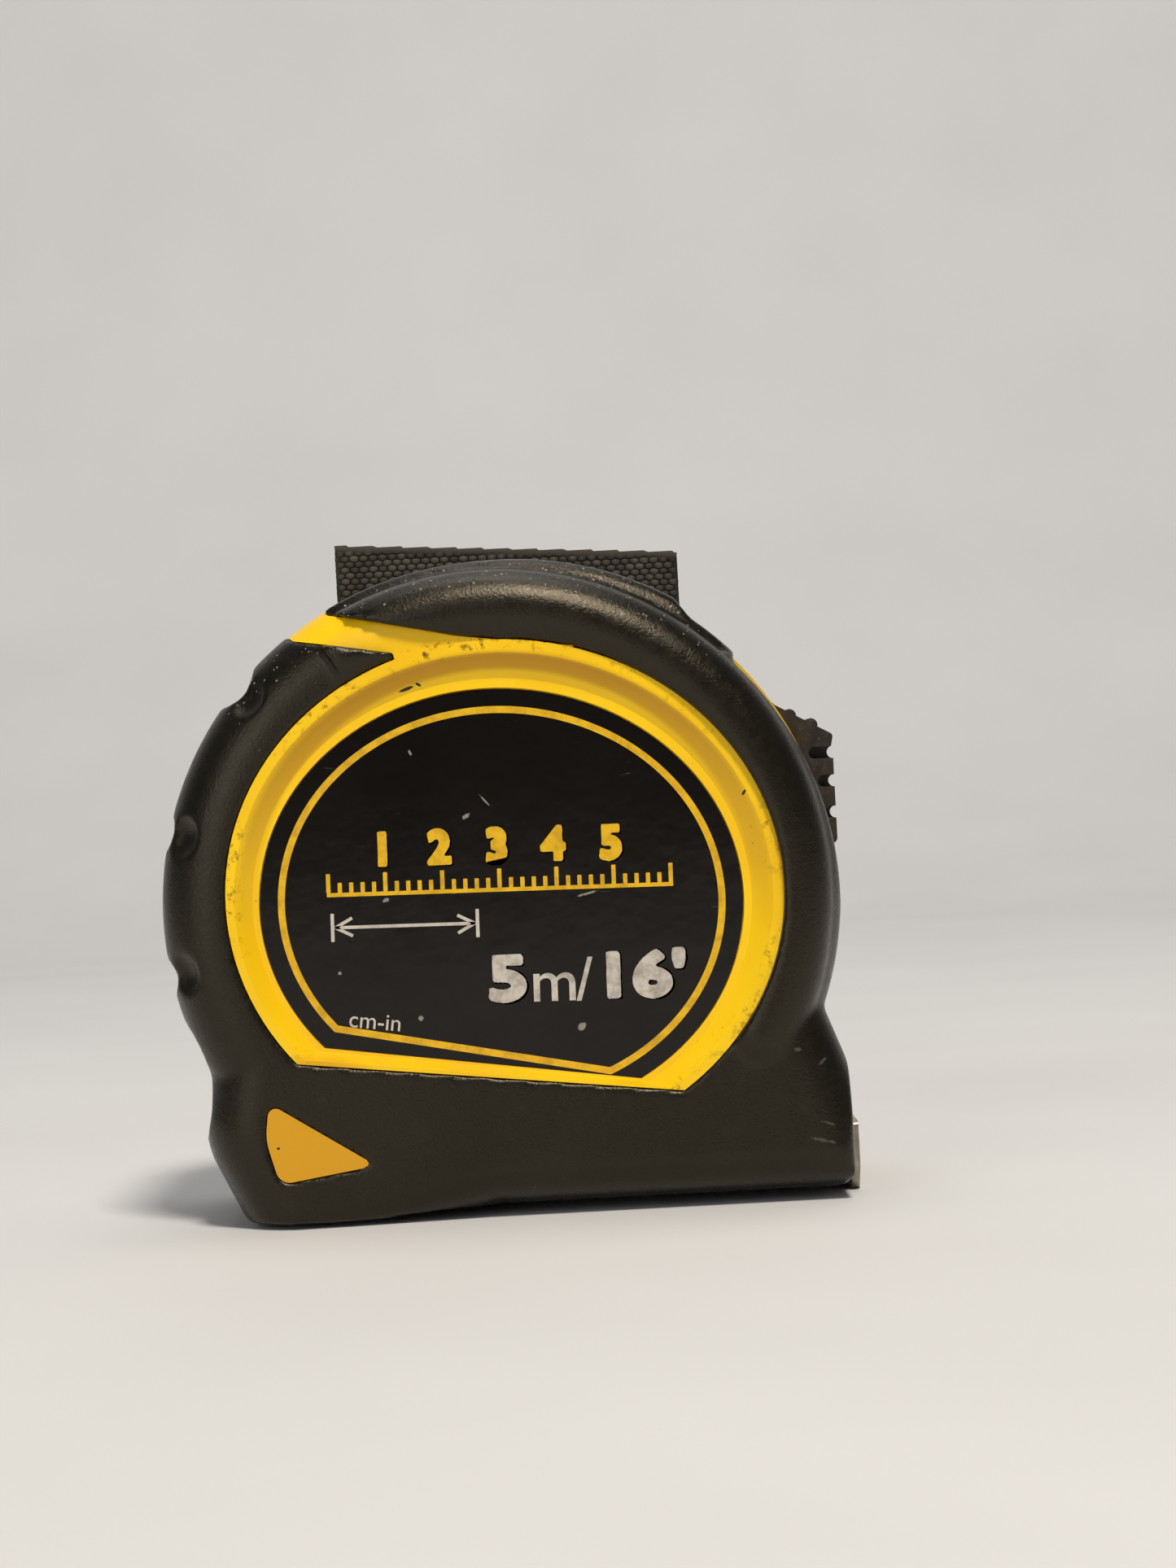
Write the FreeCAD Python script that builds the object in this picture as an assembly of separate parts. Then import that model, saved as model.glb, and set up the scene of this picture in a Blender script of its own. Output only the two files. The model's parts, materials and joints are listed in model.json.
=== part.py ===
import FreeCAD, Part
import math
import os
from FreeCAD import Vector

os.makedirs("parts", exist_ok=True)

# A pocket tape measure: two moulded half shells with a rubber skin, a spring-driven reel of
# steel blade, a hook on the blade's end, a thumb lock, and a belt clip and strap on the back.
# Frame in millimetres, +Z up. The front looks along -Y and the blade leaves the mouth along +X.
# The origin is on the flat base, straight below the reel axis, half way through the thickness.
# Plan positions below (x, z) are measured from the reel axis.

# Case
reel_height = 30.3         # reel axis above the flat base
case_radius = 34.1         # round part of the case, over the rubber
half_depth = 16.5          # mid-plane to the flat front and rear faces
edge_round = 6.0           # soft edge all round the drum
base_round = 4.3           # softer edge along the base
mouth_x = 33.8             # mouth face from the reel axis
heel_drop = 0.6            # how far the heel dips under the flat base
shoulder_top = (30.5, -9.2)   # where the shoulder over the mouth leaves the drum
skin = 1.3                 # rubber thickness
wall = 1.5                 # shell wall under the rubber
cavity_half = 12.5         # half depth of the reel chamber
rubber_sink = 0.15         # bare shell lies this much under the rubber

# Roll of rubber round the front and the rim over the top
roll_radius = 4.2
roll_centre = 28.9
roll_height = 1.0          # crest above the front face
rim_half = 12.0
rim_radius = 34.23
rim_shift = 1.41           # the rim's centre lies towards the mouth

# Ring-shaped dish and label on the front
ring_tilt = -4.6           # degrees, ring and label lean towards the mouth
ring_outer = (0.48, 0.71, 27.60, 25.19, 223.5, 311.5)
ring_inner = (0.09, -0.11, 24.08, 21.30, 224.6, 306.6)
dish_floor = 15.1          # mid-plane to the ledge round the label
label_floor = 14.6
label_thickness = 0.3
label_gap = 0.1

back_radius = 24.0         # bare round plate on the back, under the strap

# Reel, blade and spring
post_radius = 3.5
running_gap = 0.05
drum_inner = 14.6
drum_outer = 15.9
coil_outer = 23.5
flange_radius = 24.0
flange_thickness = 1.2
blade_width = 19.0
blade_thickness = 0.15
blade_cup = 2.5            # height of the blade's edges over its middle
blade_low = 3.4            # underside of the blade's middle above the base
blade_travel = 30.0
spring_turns = 8
spring_thickness = 0.35

# Hook
hook_thickness = 0.8
hook_drop = 1.1            # tip under the flat base
hook_gap = 0.1             # between hook and mouth face
hook_float = 1.0
tab_length = 12.0
tab_width = 12.0
rivet_radius = 0.9
rivet_places = (26.2, 30.2)

# Lock
lock_travel = 13.5         # degrees round the reel axis
track_radius = 33.8        # bare shell that the button slides on
track_half = 8.0
track_top = 43.5
track_low = -14.0
ledge_shift = (-0.1, -1.2)   # the rubber beside the track is drawn in round this centre
slot_half = 4.3
slot_gap = 0.3
button_half = 6.2
button_top = (27.3, 19.0)
button_lip = (34.5, 14.9)
button_end = (34.4, 3.8)
button_ridges = ((28.05, 17.9), (30.15, 17.0), (32.28, 15.95))
button_grooves = ((13.1, 32.5), (10.2, 33.3), (7.0, 33.9))   # height, inner end of the side pocket
arm_inner = 25.4
arm_outer = 29.2
arm_half = 6.0
arm_top = 30.0             # the arm's ends, degrees round the reel axis
arm_low = -43.0
pad_sweep = 2.4

# Back: clip, strap and fasteners
clip_width = 15.0
clip_thickness = 0.8
clip_gap = 3.4
clip_top = 22.0
clip_low = -14.0
clip_leg_low = 2.0         # lower end of the screwed leg
clip_screw_z = 13.0
screw_radius = 1.5
strap_left = -17.0
strap_right = 20.3
strap_top_left = 38.6
strap_top_right = 36.0
strap_low = -17.0
strap_thickness = 1.6
case_screw_radius = 1.2
boss_radius = 2.6

deep = 60.0                # longer than the case is deep, for cutters
blade_radius = (blade_width ** 2 / 4 + blade_cup ** 2) / (2 * blade_cup)
axis_point = Vector(0, 0, reel_height)
toward_front = Vector(0, -1, 0)


def spot(x, z, y=0.0):
    # a point from its plan position about the reel axis
    return Vector(x, y, reel_height + z)


def polar(radius, degrees, y=0.0):
    turn = math.radians(degrees)
    return spot(radius * math.cos(turn), radius * math.sin(turn), y)


def rounded_wire(corners, place):
    # closed outline through (a, b, radius) corners; place turns (a, b) into a point
    points = [place(a, b) for a, b, radius in corners]
    arcs = []
    for i, (a, b, radius) in enumerate(corners):
        here = points[i]
        back = (points[i - 1] - here).normalize()
        ahead = (points[(i + 1) % len(points)] - here).normalize()
        if radius == 0:
            arcs.append((here, here, here))
            continue
        half = back.getAngle(ahead) / 2
        reach = radius / math.tan(half)
        middle = (back + ahead).normalize()
        centre = here + middle * (radius / math.sin(half))
        arcs.append((here + back * reach, centre - middle * radius, here + ahead * reach))
    edges = []
    for i, (start, crown, end) in enumerate(arcs):
        if start != end:
            edges.append(Part.Arc(start, crown, end).toShape())
        edges.append(Part.LineSegment(end, arcs[(i + 1) % len(arcs)][0]).toShape())
    return Part.Wire(edges)


def plate(wire, y_low, y_high):
    # a flat wire of the plan, moved to y_low and thickened to y_high
    face = Part.Face(wire)
    face.translate(Vector(0, y_low - face.BoundBox.YMin, 0))
    return face.extrude(Vector(0, y_high - y_low, 0))


def block(x, y, z):
    # box from (low, high) pairs; z is measured from the reel axis
    corner = Vector(x[0], y[0], reel_height + z[0])
    return Part.makeBox(x[1] - x[0], y[1] - y[0], z[1] - z[0], corner)


def rod(radius, x, z, y_low, y_high):
    # cylinder along Y
    return Part.makeCylinder(radius, y_high - y_low, spot(x, z, y_low), Vector(0, 1, 0))


def revolved(corners, start=0.0, sweep=360.0, centre_x=0.0):
    # profile of (r, y, radius) corners, turned about the reel axis or a line beside it
    wire = rounded_wire(corners, lambda r, y: Vector(centre_x + r, y, reel_height))
    pivot = Vector(centre_x, 0, reel_height)
    solid = Part.Face(wire).revolve(pivot, toward_front, sweep)
    solid.rotate(pivot, toward_front, start)
    return solid


def sector(inner, outer, y_low, y_high, start, sweep):
    # part of a square-edged ring about the reel axis
    profile = [(inner, y_low, 0), (outer, y_low, 0), (outer, y_high, 0), (inner, y_high, 0)]
    return revolved(profile, start, sweep)


def ring_wire(share):
    # ellipse with its foot cut off: 0 is the dish's outer edge, 1 the label's edge
    mixed = [a + (b - a) * share for a, b in zip(ring_outer, ring_inner)]
    centre_x, centre_z, semi_long, semi_short, left, right = mixed
    tilt = math.radians(ring_tilt)
    along = Vector(math.cos(tilt), 0, math.sin(tilt))
    across = Vector(-math.sin(tilt), 0, math.cos(tilt))
    centre = spot(centre_x, centre_z)

    def on_ellipse(degrees):
        turn = math.radians(degrees)
        return centre + along * (semi_long * math.cos(turn)) + across * (semi_short * math.sin(turn))

    curve = Part.Ellipse(on_ellipse(0), on_ellipse(90), centre)
    ends = [curve.parameter(on_ellipse(a)) for a in (right, left + 360)]
    arc = curve.toShape(ends[0], ends[1] + (2 * math.pi if ends[1] < ends[0] else 0))
    chord = Part.LineSegment(arc.Vertexes[-1].Point, arc.Vertexes[0].Point).toShape()
    return Part.Wire([arc, chord])


def drum(inset):
    # the round part of the case, drawn in by inset
    radius = case_radius - inset
    depth = half_depth - inset
    curve = edge_round - inset
    profile = [(0, -depth, 0), (radius, -depth, curve), (radius, depth, curve), (0, depth, 0)]
    return revolved(profile)


def foot_corners(heel_curve):
    base = -reel_height
    heel = base - heel_drop
    return [(-29.4, -12.5, 0), (-31.2, -22.5, 9.0), (-27.2, heel, heel_curve), (-14.5, heel, 25.0),
            (-6.5, base, 25.0), (mouth_x, base, 2.0), (mouth_x, -18.0, 5.0),
            (shoulder_top[0], shoulder_top[1], 0), (0.0, -9.5, 0)]


def edge_cutter(start, end, side, radius, sign):
    # removes the square edge between a face at y = sign * depth and the side whose inward
    # direction is side, leaving a round; start and end lie on that edge
    inward = Vector(0, -sign, 0)
    centre = start + side * radius + inward * radius
    length = (end - start).Length
    along = (end - start).normalize()
    beyond = 3 * radius
    square = Part.makePolygon([centre, centre - side * beyond, centre - side * beyond - inward * beyond,
                               centre - inward * beyond, centre])
    bar = Part.Face(square).extrude(along * length)
    return bar.cut(Part.makeCylinder(radius, length, centre, along))


def foot(inset):
    # the lower part of the case: heel, flat base and mouth, drawn in by inset
    depth = half_depth - inset
    wire = rounded_wire(foot_corners(0), spot)
    trim = rounded_wire(foot_corners(1.8), spot)
    if inset > 0:
        wire = wire.makeOffset2D(-inset, 2)
        trim = trim.makeOffset2D(-inset, 2)
    solid = plate(wire, -depth, depth)
    left = [edge for edge in solid.Edges if abs(abs(edge.CenterOfMass.y) - depth) < 0.01
            and edge.BoundBox.XMax < -26.0 + inset and edge.BoundBox.ZMax < reel_height - 12.0]
    solid = solid.makeFillet(edge_round - inset, left)
    solid = solid.common(plate(trim, -depth, depth))
    base = -reel_height + inset
    mouth = mouth_x - inset
    up = Vector(0, 0, 1)
    shoulder = (spot(mouth_x, -18.0) - spot(*shoulder_top)).normalize()
    shoulder_in = Vector(shoulder.z, 0, -shoulder.x)
    fall = math.radians(11.0)
    for sign in (-1, 1):
        y = sign * depth
        runs = [(spot(-2.0, base, y), spot(mouth + 5, base, y), up, base_round),
                (spot(-1.0, base + math.tan(fall), y), spot(-40.0, base - 38 * math.tan(fall), y),
                 Vector(-math.sin(fall), 0, math.cos(fall)), base_round),
                (spot(mouth, base - 5, y), spot(mouth, -5.0, y), Vector(-1, 0, 0), 1.6)]
        for start, end, side, radius in runs:
            solid = solid.cut(edge_cutter(start, end, side, radius, sign))
        start = spot(*shoulder_top, y) - shoulder * 10 + shoulder_in * inset
        solid = solid.cut(edge_cutter(start, start + shoulder * 26, shoulder_in, 5.0, sign))
    return solid


def case_body(inset):
    keep = block((-60, 60), (-deep, deep), (8 - reel_height, 60))
    return drum(inset).common(keep).fuse(foot(inset))


def roll():
    # the fat rubber roll round the front face, with round ends
    y = -(half_depth + roll_height - roll_radius)
    ring = Part.makeTorus(roll_centre, roll_radius, axis_point + Vector(0, y, 0), Vector(0, 1, 0))
    ring = ring.common(sector(0, 60, -deep, deep, -30, 152))
    end = polar(roll_centre, -30, y)
    return ring.fuse(Part.makeSphere(roll_radius, end))


def groove(inset):
    # step behind the roll that leaves the rim standing
    return sector(31.5 - inset, 60, -deep, -rim_half + inset, 45, 77)


def rim():
    # its end towards the button slopes down into the drum
    profile = [(28, -rim_half, 0), (rim_radius, -rim_half, 1.4), (rim_radius, rim_half, 1.4),
               (28, rim_half, 0)]
    slope = [polar(36, 61), polar(33.9, 52.5), polar(33.9, 45), polar(45, 45), polar(45, 61), polar(36, 61)]
    return revolved(profile, 50, 68, rim_shift).cut(plate(Part.makePolygon(slope), -deep, deep))


def ledge():
    # what is taken off the rubber on both sides of the button's track
    outside = sector(31, 60, -deep, deep, -3, track_top + 3)
    return outside.cut(rod(case_radius, ledge_shift[0], ledge_shift[1], -deep, deep))


def finger_scoops(grow):
    # three dents for the fingers and a shallow hollow under them; grow widens them for the shell
    cutters = []
    for degrees, depth, radius in ((138.3, 1.2, 3.5), (165.6, 0.7, 3.25), (190.0, 0.9, 2.4), (203.0, 0.6, 12.0)):
        place = polar(case_radius - depth + radius, degrees)
        cutters.append(rod(radius + grow, place.x, place.z - reel_height, -deep, deep))
    return cutters


def face_scoops():
    # the dents' ends on the front face
    return [Part.makeSphere(3.0, polar(case_radius - 0.45, degrees, -16.3)) for degrees in (138.3, 165.6, 190.0)]


def band_wire():
    # bare shell from the upper left edge into the ring
    corners = [(-17.8, 33.5, 0), (-16.2, 29.4, 1.0), (-3.0, 26.45, 12.0), (8.6, 24.9, 0), (5.0, 18.0, 0),
               (-8.0, 19.0, 0), (-9.3, 25.1, 0.3), (-19.5, 26.95, 1.0), (-23.0, 31.0, 0)]
    return rounded_wire(corners, spot)


def rear_band_wire():
    corners = [(-17.8, 33.5, 0), (-16.2, 29.4, 0), (-9.0, 20.0, 0), (-13.0, 17.0, 0), (-19.5, 26.95, 0),
               (-23.0, 31.0, 0)]
    return rounded_wire(corners, spot)


def window_wire():
    corners = [(-23.9, -18.7, 0.8), (-24.4, -22.3, 6.0), (-23.2, -26.8, 1.4), (-13.6, -25.4, 0.4)]
    return rounded_wire(corners, spot)


def track(outer, half):
    return sector(29.0, outer, -half, half, track_low, track_top - track_low)


def chamber():
    # inside of the case: a stepped reel chamber and the way to the mouth
    narrow = 9.2
    inset = skin + wall
    wide = rod(case_radius - inset, 0, 0, -narrow, narrow)
    deep_part = rod(case_radius - inset - 2.6, 0, 0, -cavity_half, cavity_half)
    floor = block((-60, 60), (-deep, deep), (inset - reel_height, 60))
    low = rounded_wire(foot_corners(0), spot).makeOffset2D(-inset, 2)
    low = plate(low, -blade_width / 2 - 0.9, blade_width / 2 + 0.9)
    low = low.common(block((-60, 60), (-deep, deep), (-60, -19)))
    return wide.fuse(deep_part).common(floor).fuse(low)


def mouth_slot():
    low = skin + wall - reel_height
    return block((mouth_x - 8, mouth_x + 8), (-blade_width / 2 - 0.9, blade_width / 2 + 0.9), (low, low + 4.4))


def case_screw_places():
    # (x, z) of the screws that close the case
    around = [polar(27.3, degrees) for degrees in (62.0, 150.0)]
    places = [(point.x, point.z - reel_height) for point in around]
    return places + [(-25.0, -24.6), (26.0, -20.4)]


def lock_slot():
    return sector(28.5, 60, -slot_half, slot_half, 11.7 - lock_travel, 19.6 + lock_travel)


def bumper_block():
    return block((mouth_x - 1.2, mouth_x), (-8, 8), (0.7 - reel_height, skin + wall - 0.5 - reel_height))


def case_parts():
    # the two half shells and their rubber skins
    outer = case_body(0).cut(groove(0)).fuse([rim(), roll()])
    for cutter in finger_scoops(0) + face_scoops() + [ledge()]:
        outer = outer.cut(cutter)
    core = case_body(skin).cut(groove(skin))
    for cutter in finger_scoops(0.9)[:3]:
        core = core.cut(cutter)
    ring = ring_wire(0)
    plain = case_body(rubber_sink)
    bands = [plate(band_wire(), -deep, 0), plate(rear_band_wire(), 0, deep)]
    window = plate(window_wire(), -deep, -8)
    back_plate = rod(back_radius, 0, 0, 0, half_depth)
    bare = [plate(ring, -half_depth, 0), back_plate, track(track_radius, track_half)]
    shell = core.fuse(bare + [plain.common(zone) for zone in bands + [window]])
    clear = [plate(ring, -deep, -10), rod(back_radius, 0, 0, 10, deep), window, track(60, track_half)]
    rubber = outer.cut([shell] + clear + bands)
    dish = Part.makeLoft([plate_wire(ring_wire(0.27), -half_depth), plate_wire(ring_wire(0.8), -dish_floor)], True)
    shell = shell.cut([dish, plate(ring_wire(0.8), -dish_floor - 0.02, -dish_floor),
                       plate(ring_wire(1.0), -deep, -label_floor), chamber(), lock_slot(), mouth_slot()])
    shell = shell.fuse(bosses()).cut([screw_holes(), clip_hole(), bumper_block()])
    rubber = rubber.cut([mouth_slot(), screw_holes(), bumper_block()])
    front = block((-60, 60), (-deep, 0), (-60, 60))
    rear = block((-60, 60), (0, deep), (-60, 60))
    return shell.common(front), shell.common(rear), rubber.common(front), rubber.common(rear)


def plate_wire(wire, y):
    moved = wire.copy()
    moved.translate(Vector(0, y - wire.BoundBox.YMin, 0))
    return moved


def bosses():
    # posts round the screws, inside the chamber and the foot
    posts = [rod(boss_radius, x, z, -cavity_half - 0.3, cavity_half + 0.3) for x, z in case_screw_places()]
    return posts[0].fuse(posts[1:])


def screw_holes():
    cuts = []
    for x, z in case_screw_places():
        cuts.append(rod(case_screw_radius, x, z, -9, deep))
        cuts.append(rod(case_screw_radius + 0.2, x, z, 0, deep))
        cuts.append(rod(2.5, x, z, 13.6, deep))
    return cuts[0].fuse(cuts[1:])


def clip_hole():
    return rod(2.4, 0, clip_screw_z, half_depth - 3.5, deep)


def case_screws():
    screws = []
    for x, z in case_screw_places():
        head = rod(2.2, x, z, 13.6, 15.2)
        drive = rod(1.0, x, z, 14.4, 16)
        screws.append(head.fuse(rod(case_screw_radius, x, z, -8.5, 13.6)).cut(drive))
    return Part.makeCompound(screws)


def front_label():
    smaller = 1 + label_gap / (ring_outer[2] - ring_inner[2])
    return plate(ring_wire(smaller), -label_floor - label_thickness, -label_floor)


def centre_post():
    post = rod(post_radius, 0, 0, -cavity_half, cavity_half)
    return post.cut(block((-0.3, 0.3), (-8, 8), (-1.2, post_radius + 1)))


def reel_drum():
    half = blade_width / 2 + 0.3
    tube = rod(drum_outer, 0, 0, -half, half).cut(rod(drum_inner, 0, 0, -half, half))
    web = rod(flange_radius, 0, 0, half, half + flange_thickness)
    return tube.fuse(web).cut(rod(post_radius + running_gap, 0, 0, 0, deep))


def reel_cover():
    half = blade_width / 2 + 0.3
    disc = rod(flange_radius, 0, 0, -half - flange_thickness, -half)
    lip = rod(drum_inner, 0, 0, -half, -half + 1).cut(rod(drum_inner - 1, 0, 0, -half, -half + 1))
    return disc.fuse(lip).cut(rod(post_radius + running_gap, 0, 0, -deep, 0))


def blade_coil():
    half = blade_width / 2
    return rod(coil_outer, 0, 0, -half, half).cut(rod(drum_outer, 0, 0, -half, half))


def power_spring():
    # flat spiral spring from the post to the reel's drum
    first = post_radius + 0.3
    last = drum_inner - 1.3
    steps = spring_turns * 12

    def spiral(shift):
        points = []
        for i in range(steps + 1):
            share = i / steps
            points.append(polar(first + (last - first) * share + shift, 90 + 360 * spring_turns * share))
        curve = Part.BSplineCurve()
        curve.interpolate(points)
        return curve.toShape()

    inner = spiral(0)
    outer = spiral(spring_thickness)
    ends = [Part.LineSegment(inner.Vertexes[i].Point, outer.Vertexes[i].Point).toShape() for i in (0, -1)]
    wire = Part.Wire([inner, ends[1], outer, ends[0]])
    half = blade_width / 2 - 2.0
    return plate(wire, -half, half)


def blade_section(low, thickness, width, x):
    # cupped cross-section of the blade or of what lies on it
    outside = blade_radius + blade_low - low
    inside = outside - thickness
    half = width / 2

    def on_arc(radius, y):
        return Vector(x, y, low + outside - math.sqrt(radius ** 2 - y ** 2))

    lower = Part.Arc(on_arc(outside, -half), on_arc(outside, 0), on_arc(outside, half)).toShape()
    upper = Part.Arc(on_arc(inside, half), on_arc(inside, 0), on_arc(inside, -half)).toShape()
    ends = [Part.LineSegment(on_arc(outside, y), on_arc(inside, y)).toShape() for y in (half, -half)]
    return Part.Face(Part.Wire([lower, ends[0], upper, ends[1]]))


def blade_lead():
    lead = blade_section(blade_low, blade_thickness, blade_width, 0.0).extrude(Vector(mouth_x - 0.2, 0, 0))
    for x in rivet_places:
        lead = lead.cut(Part.makeCylinder(rivet_radius, 10, Vector(x, 0, 0)))
    return lead


def hook_rivets():
    head_low = blade_low - 0.35
    tab_top = blade_low + blade_thickness + 0.15 + 0.7
    rivets = []
    for x in rivet_places:
        shank = Part.makeCylinder(rivet_radius, tab_top + 0.4 - head_low, Vector(x, 0, head_low))
        low_head = Part.makeCylinder(1.7, 0.35, Vector(x, 0, head_low))
        top_head = Part.makeCylinder(1.8, 0.5, Vector(x, 0, tab_top + 0.15))
        rivets.append(shank.fuse([low_head, top_head]))
    return Part.makeCompound(rivets)


def end_hook():
    back = mouth_x + hook_gap
    half = blade_width / 2
    top = blade_low + blade_cup + 0.1
    corners = [(-half, top, 0.5), (half, top, 0.5), (half, 1.6, 1.0), (half - 2.4, -hook_drop, 0.6),
               (-half + 2.4, -hook_drop, 0.6), (-half, 1.6, 1.0)]
    face = Part.Face(rounded_wire(corners, lambda y, z: Vector(back, y, z)))
    upright = face.extrude(Vector(hook_thickness, 0, 0))
    start = back - tab_length
    tab = blade_section(blade_low + blade_thickness + 0.15, 0.7, tab_width, start)
    tab = tab.extrude(Vector(tab_length + hook_thickness / 2, 0, 0))
    hook = upright.fuse(tab)
    gap = rivet_radius + running_gap
    for x in rivet_places:
        low = Vector(x - hook_float, -gap, 0)
        slot = Part.makeBox(hook_float, 2 * gap, 10, low)
        ends = [Part.makeCylinder(gap, 10, Vector(x - shift, 0, 0)) for shift in (0, hook_float)]
        hook = hook.cut(slot.fuse(ends))
    return hook


def lock_button():
    # thumb piece: a ramp with ridges, a lip and a face with grooves that deepen at the sides
    lip_x, lip_z = button_lip
    end_x, end_z = button_end
    corners = [(button_top[0], button_top[1], 0), (lip_x, lip_z, 0.45), (lip_x - 0.3, lip_z - 1.4, 0.2),
               (end_x, lip_z - 2.4, 0.3), (end_x, end_z, 0.6), (30.0, end_z - 0.2, 0), (25.0, 16.0, 0)]
    cap = plate(rounded_wire(corners, spot), -button_half, button_half)
    cap = cap.fuse([rod(0.7, x, z, -button_half, button_half) for x, z in button_ridges])
    cap = cap.cut(rod(track_radius + 0.1, 0, 0, -deep, deep))
    for z, inner in button_grooves:
        cap = cap.cut(rod(0.62, end_x + 0.1, z, -deep, deep))
        for low in (-button_half - 1, button_half - 1.5):
            high = low + 2.5
            pocket = block((inner, 40), (low, high), (z - 0.6, z + 0.6))
            cap = cap.cut(pocket.fuse(rod(0.6, inner, z, low, high)))
    half = slot_half - slot_gap
    neck = sector(arm_outer, track_radius + 0.4, -half, half, 12.5, 18)
    return cap.fuse(neck)


def lock_arm():
    return sector(arm_inner, arm_outer, -arm_half, arm_half, arm_low, arm_top - arm_low)


def brake_pad():
    half = arm_half - 1
    return sector(arm_inner + 0.6, arm_outer + 1.0, -half, half, arm_low - pad_sweep, pad_sweep)


def belt_clip():
    # one bent strip: screwed leg, bend over the top, free leg with a flared end
    y = half_depth + strap_thickness
    t = clip_thickness
    outer = y + t + clip_gap + t
    bend = clip_gap / 2 - 0.01
    corners = [(y, clip_leg_low, 0), (y, clip_top, bend + t), (outer, clip_top, bend + t),
               (outer, clip_low + 5, 3.0), (outer + 1.6, clip_low, 0), (outer + 1.6 - t, clip_low, 0),
               (outer - t, clip_low + 5, 3.0), (outer - t, clip_top - t, bend),
               (y + t, clip_top - t, bend), (y + t, clip_leg_low, 0)]
    wire = rounded_wire(corners, lambda a, b: Vector(-clip_width / 2, a, reel_height + b))
    clip = Part.Face(wire).extrude(Vector(clip_width, 0, 0))
    clip = clip.cut(rod(screw_radius + 0.1, 0, clip_screw_z, 0, y + t + 0.5))
    return clip.cut(rod(3.4, 0, clip_screw_z, y + t + 0.5, deep))


def clip_screw():
    y = half_depth + strap_thickness + clip_thickness
    head = rod(2.8, 0, clip_screw_z, y, y + 1.4)
    drive = rod(1.2, 0, clip_screw_z, y + 0.7, y + 2)
    return head.fuse(rod(screw_radius, 0, clip_screw_z, half_depth - 3.3, y)).cut(drive)


def clip_insert():
    # brass insert that the clip screw bites into
    ring = rod(2.4, 0, clip_screw_z, half_depth - 3.5, half_depth)
    return ring.cut(rod(screw_radius, 0, clip_screw_z, 0, deep))


def webbing_strap():
    corners = [(strap_left, strap_low, 0), (strap_right, strap_low, 0), (strap_right, strap_top_right, 0),
               (strap_left, strap_top_left, 0)]
    strap = plate(rounded_wire(corners, spot), half_depth, half_depth + strap_thickness)
    return strap.cut(rod(screw_radius + 0.1, 0, clip_screw_z, 0, deep))


front_shell, rear_shell, front_rubber, rear_rubber = case_parts()

pieces = {
    "front_shell": front_shell,
    "rear_shell": rear_shell,
    "front_overmould": front_rubber,
    "rear_overmould": rear_rubber,
    "front_label": front_label(),
    "centre_post": centre_post(),
    "case_screws": case_screws(),
    "hook_bumper": bumper_block(),
    "belt_clip": belt_clip(),
    "clip_screw": clip_screw(),
    "clip_insert": clip_insert(),
    "webbing_strap": webbing_strap(),
    "reel_drum": reel_drum(),
    "reel_cover": reel_cover(),
    "blade_coil": blade_coil(),
    "power_spring": power_spring(),
    "blade_lead": blade_lead(),
    "hook_rivets": hook_rivets(),
    "end_hook": end_hook(),
    "lock_button": lock_button(),
    "lock_arm": lock_arm(),
    "brake_pad": brake_pad(),
}

for name, shape in pieces.items():
    print(name, "valid", shape.isValid(), "solids", len(shape.Solids), "volume", round(shape.Volume, 1))
    shape.exportStep("parts/" + name + ".step")
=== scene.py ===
import json
import math
import random
import bpy
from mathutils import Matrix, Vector

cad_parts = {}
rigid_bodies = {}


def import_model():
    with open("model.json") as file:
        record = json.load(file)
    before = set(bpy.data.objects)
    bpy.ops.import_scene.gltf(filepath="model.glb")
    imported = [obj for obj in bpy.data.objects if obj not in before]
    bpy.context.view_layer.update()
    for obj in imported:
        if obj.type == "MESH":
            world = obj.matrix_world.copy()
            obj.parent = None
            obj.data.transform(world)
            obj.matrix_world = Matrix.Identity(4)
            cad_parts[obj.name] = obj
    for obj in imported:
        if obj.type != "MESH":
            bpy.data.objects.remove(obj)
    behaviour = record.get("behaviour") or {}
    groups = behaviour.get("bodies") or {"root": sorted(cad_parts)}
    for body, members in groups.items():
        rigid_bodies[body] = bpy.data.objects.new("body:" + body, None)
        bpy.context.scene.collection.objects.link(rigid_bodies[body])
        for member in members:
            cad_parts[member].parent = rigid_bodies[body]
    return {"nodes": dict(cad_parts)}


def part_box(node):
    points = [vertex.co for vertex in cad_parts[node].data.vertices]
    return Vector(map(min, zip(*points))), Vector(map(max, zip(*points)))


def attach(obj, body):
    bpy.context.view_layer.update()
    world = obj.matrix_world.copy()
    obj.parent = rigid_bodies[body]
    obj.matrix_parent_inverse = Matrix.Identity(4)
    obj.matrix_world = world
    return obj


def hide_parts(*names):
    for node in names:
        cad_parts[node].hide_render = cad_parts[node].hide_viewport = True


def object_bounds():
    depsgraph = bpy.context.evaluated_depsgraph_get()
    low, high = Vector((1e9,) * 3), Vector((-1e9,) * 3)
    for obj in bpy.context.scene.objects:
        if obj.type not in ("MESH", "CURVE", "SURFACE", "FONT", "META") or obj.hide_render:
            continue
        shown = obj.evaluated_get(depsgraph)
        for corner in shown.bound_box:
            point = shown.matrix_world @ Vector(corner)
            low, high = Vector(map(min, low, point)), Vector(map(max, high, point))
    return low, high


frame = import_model()
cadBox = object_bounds()
mm = 0.001
print("frame loaded:", len(frame["nodes"]), "nodes")

# the reel axis, read from the frame, is the centre that plan places are measured from
coilLow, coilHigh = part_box("blade_coil")
axisZ = (coilLow.z + coilHigh.z) / 2
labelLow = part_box("front_label")[0]


def plan(x, z, y=0.0):
    # millimetres from the reel axis to metres in the frame
    return Vector((x * mm, y, axisZ + z * mm))


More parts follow.
